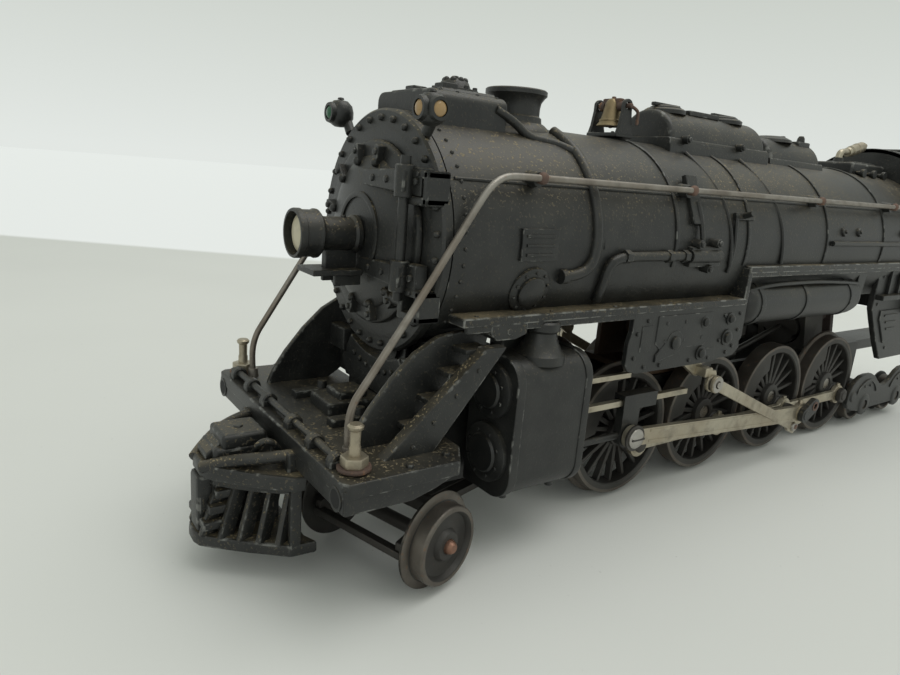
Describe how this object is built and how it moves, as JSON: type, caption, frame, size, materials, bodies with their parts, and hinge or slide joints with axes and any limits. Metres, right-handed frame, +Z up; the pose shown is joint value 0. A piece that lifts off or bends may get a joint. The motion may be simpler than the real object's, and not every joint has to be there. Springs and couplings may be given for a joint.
{
  "type": "model steam locomotive",
  "caption": "Model steam locomotive with a round boiler, open cab, spoked driving wheels joined by rods, a leading and a trailing truck, hinged bell and drawbar.",
  "frame": {"origin": "on the running surface, under the middle of the overall length and width", "axes": "+X forward along the track, +Y to the engine's left, +Z up"},
  "size_m": [0.312, 0.07, 0.1057],
  "materials": {
    "castBlack": "matt black paint over zinc casting, dusty",
    "nickel": "dull nickel plate",
    "darkSteel": "blackened steel, worn at the edges",
    "brightSteel": "turned steel",
    "agedBrass": "aged brass",
    "gearBrass": "machined brass",
    "coreSteel": "laminated iron",
    "armatureCopper": "laminated core with enamelled wire",
    "darkPlastic": "moulded phenolic plastic",
    "coilBobbin": "fibre frame with a wound coil",
    "lensCream": "frosted lens",
    "bulbGlass": "clear bulb",
    "amberJewel": "painted lamp, clear amber jewel",
    "greenJewel": "painted lamp, green jewel"
  },
  "bodies": {
    "engine": {"boiler_shell": "castBlack", "smokebox_ring": "castBlack", "smokebox_door": "castBlack", "headlight_housing": "castBlack", "headlight_lens": "lensCream", "headlamp_bulb": "bulbGlass", "marker_light_left": "amberJewel", "marker_light_right": "greenJewel", "smoke_stack": "castBlack", "bell_bracket": "castBlack", "whistle": "nickel", "handrail_left": "nickel", "handrail_right": "nickel", "flag_post_left": "nickel", "flag_post_right": "nickel", "pilot_deck": "castBlack", "pilot": "castBlack", "motor_frame": "darkSteel", "pickup_plate": "darkPlastic", "cylinder_block": "castBlack", "guide_bars_left": "nickel", "guide_bars_right": "nickel", "motor_field": "coreSteel", "brush_plate": "darkPlastic", "reversing_unit": "coilBobbin"},
    "drivers_3": {"driver_axle_3": "brightSteel", "driver_wheel_left_3": "darkSteel", "driver_wheel_right_3": "darkSteel", "worm_gear": "gearBrass", "eccentric_crank_left": "darkSteel", "eccentric_crank_right": "darkSteel"},
    "drivers_1": {"driver_axle_1": "brightSteel", "driver_wheel_left_1": "darkSteel", "driver_wheel_right_1": "darkSteel"},
    "drivers_2": {"driver_axle_2": "brightSteel", "driver_wheel_left_2": "darkSteel", "driver_wheel_right_2": "darkSteel"},
    "drivers_4": {"driver_axle_4": "brightSteel", "driver_wheel_left_4": "darkSteel", "driver_wheel_right_4": "darkSteel"},
    "side_rod_left": {"side_rod_left": "nickel"},
    "main_rod_left": {"main_rod_left": "nickel"},
    "side_rod_right": {"side_rod_right": "nickel"},
    "main_rod_right": {"main_rod_right": "nickel"},
    "crosshead_left": {"crosshead_left": "darkSteel"},
    "crosshead_right": {"crosshead_right": "darkSteel"},
    "link_left": {"link_left": "nickel"},
    "eccentric_rod_left": {"eccentric_rod_left": "nickel"},
    "link_right": {"link_right": "nickel"},
    "eccentric_rod_right": {"eccentric_rod_right": "nickel"},
    "armature": {"armature": "armatureCopper"},
    "bell": {"bell": "agedBrass"},
    "drawbar": {"drawbar": "darkSteel"},
    "pilot_truck": {"pilot_truck_frame": "darkSteel"},
    "pilot_wheels": {"pilot_wheelset": "darkSteel"},
    "trailing_truck": {"trailing_truck_frame": "castBlack"},
    "trailing_wheels_front": {"trailing_wheelset_front": "darkSteel"},
    "trailing_wheels_rear": {"trailing_wheelset_rear": "darkSteel"},
    "pickup_roller_front": {"pickup_roller_front": "brightSteel"},
    "pickup_roller_rear": {"pickup_roller_rear": "brightSteel"}
  },
  "joints": [
    {"name": "driver_3_spin", "type": "hinge", "parent": "engine", "child": "drivers_3", "pos_m": [-0.0234, 0, 0.0187], "axis": [0, 1, 0], "continuous": true},
    {"name": "driver_1_spin", "type": "hinge", "parent": "engine", "child": "drivers_1", "pos_m": [0.05, 0, 0.0187], "axis": [0, 1, 0], "continuous": true},
    {"name": "driver_2_spin", "type": "hinge", "parent": "engine", "child": "drivers_2", "pos_m": [0.0133, 0, 0.0187], "axis": [0, 1, 0], "continuous": true},
    {"name": "driver_4_spin", "type": "hinge", "parent": "engine", "child": "drivers_4", "pos_m": [-0.0601, 0, 0.0187], "axis": [0, 1, 0], "continuous": true},
    {"name": "side_rod_left_pin", "type": "hinge", "parent": "drivers_1", "child": "side_rod_left", "pos_m": [0.04481, 0.0193, 0.01479], "axis": [0, 1, 0], "continuous": true},
    {"name": "main_rod_left_pin", "type": "hinge", "parent": "drivers_3", "child": "main_rod_left", "pos_m": [-0.02859, 0.0249, 0.01479], "axis": [0, 1, 0], "continuous": true},
    {"name": "side_rod_right_pin", "type": "hinge", "parent": "drivers_1", "child": "side_rod_right", "pos_m": [0.05391, -0.0193, 0.01351], "axis": [0, 1, 0], "continuous": true},
    {"name": "main_rod_right_pin", "type": "hinge", "parent": "drivers_3", "child": "main_rod_right", "pos_m": [-0.01949, -0.0249, 0.01351], "axis": [0, 1, 0], "continuous": true},
    {"name": "crosshead_left_slide", "type": "slide", "parent": "engine", "child": "crosshead_left", "axis": [1, 0, 0], "range_m": [-0.00108, 0.01183]},
    {"name": "crosshead_right_slide", "type": "slide", "parent": "engine", "child": "crosshead_right", "axis": [1, 0, 0], "range_m": [-0.01008, 0.00283]},
    {"name": "link_left_swing", "type": "hinge", "parent": "engine", "child": "link_left", "pos_m": [0.037, 0.0237, 0.04], "axis": [0, 1, 0], "range_deg": [-5, 5]},
    {"name": "eccentric_rod_left_swing", "type": "hinge", "parent": "link_left", "child": "eccentric_rod_left", "pos_m": [0.0275, 0.0287, 0.0325], "axis": [0, 1, 0], "range_deg": [-1, 16]},
    {"name": "link_right_swing", "type": "hinge", "parent": "engine", "child": "link_right", "pos_m": [0.037, -0.0237, 0.04], "axis": [0, 1, 0], "range_deg": [-12, 5]},
    {"name": "eccentric_rod_right_swing", "type": "hinge", "parent": "link_right", "child": "eccentric_rod_right", "pos_m": [0.0275, -0.0287, 0.0325], "axis": [0, 1, 0], "range_deg": [-10, 25]},
    {"name": "armature_spin", "type": "hinge", "parent": "engine", "child": "armature", "pos_m": [-0.02112, 0, 0.0272], "axis": [0.9659, 0, -0.2588], "continuous": true},
    {"name": "bell_swing", "type": "hinge", "parent": "engine", "child": "bell", "pos_m": [0.0495, 0, 0.1018], "axis": [0, 1, 0], "range_deg": [-35, 35]},
    {"name": "drawbar_swing", "type": "hinge", "parent": "engine", "child": "drawbar", "pos_m": [-0.146, 0, 0.0222], "axis": [0, 0, 1], "range_deg": [-25, 25]},
    {"name": "pilot_truck_swing", "type": "hinge", "parent": "engine", "child": "pilot_truck", "pos_m": [0.0701, 0, 0.0089], "axis": [0, 0, 1], "range_deg": [-32.6, 0]},
    {"name": "pilot_wheel_spin", "type": "hinge", "parent": "pilot_truck", "child": "pilot_wheels", "pos_m": [0.12001, 0.01459, 0.0102], "axis": [-0.2807, 0.9598, 0], "continuous": true},
    {"name": "trailing_truck_swing", "type": "hinge", "parent": "engine", "child": "trailing_truck", "pos_m": [-0.072, 0, 0.0109], "axis": [0, 0, 1], "range_deg": [-5, 5]},
    {"name": "trailing_wheel_front_spin", "type": "hinge", "parent": "trailing_truck", "child": "trailing_wheels_front", "pos_m": [-0.087, 0, 0.0082], "axis": [0, 1, 0], "continuous": true},
    {"name": "trailing_wheel_rear_spin", "type": "hinge", "parent": "trailing_truck", "child": "trailing_wheels_rear", "pos_m": [-0.115, 0, 0.0082], "axis": [0, 1, 0], "continuous": true},
    {"name": "pickup_roller_front_spin", "type": "hinge", "parent": "engine", "child": "pickup_roller_front", "pos_m": [0.033, 0, 0.003], "axis": [0, 1, 0], "continuous": true},
    {"name": "pickup_roller_rear_spin", "type": "hinge", "parent": "engine", "child": "pickup_roller_rear", "pos_m": [-0.005, 0, 0.003], "axis": [0, 1, 0], "continuous": true}
  ],
  "couplings": [
    {"joint": "driver_1_spin", "follows": "driver_3_spin", "ratio": 1},
    {"joint": "driver_2_spin", "follows": "driver_3_spin", "ratio": 1},
    {"joint": "driver_4_spin", "follows": "driver_3_spin", "ratio": 1},
    {"joint": "side_rod_left_pin", "follows": "driver_3_spin", "ratio": -1},
    {"joint": "main_rod_left_pin", "follows": "driver_3_spin", "ratio": -1},
    {"joint": "side_rod_right_pin", "follows": "driver_3_spin", "ratio": -1},
    {"joint": "main_rod_right_pin", "follows": "driver_3_spin", "ratio": -1},
    {"joint": "eccentric_rod_right_swing", "follows": "link_right_swing", "ratio": -1},
    {"joint": "armature_spin", "follows": "driver_3_spin", "ratio": 16}
  ]
}
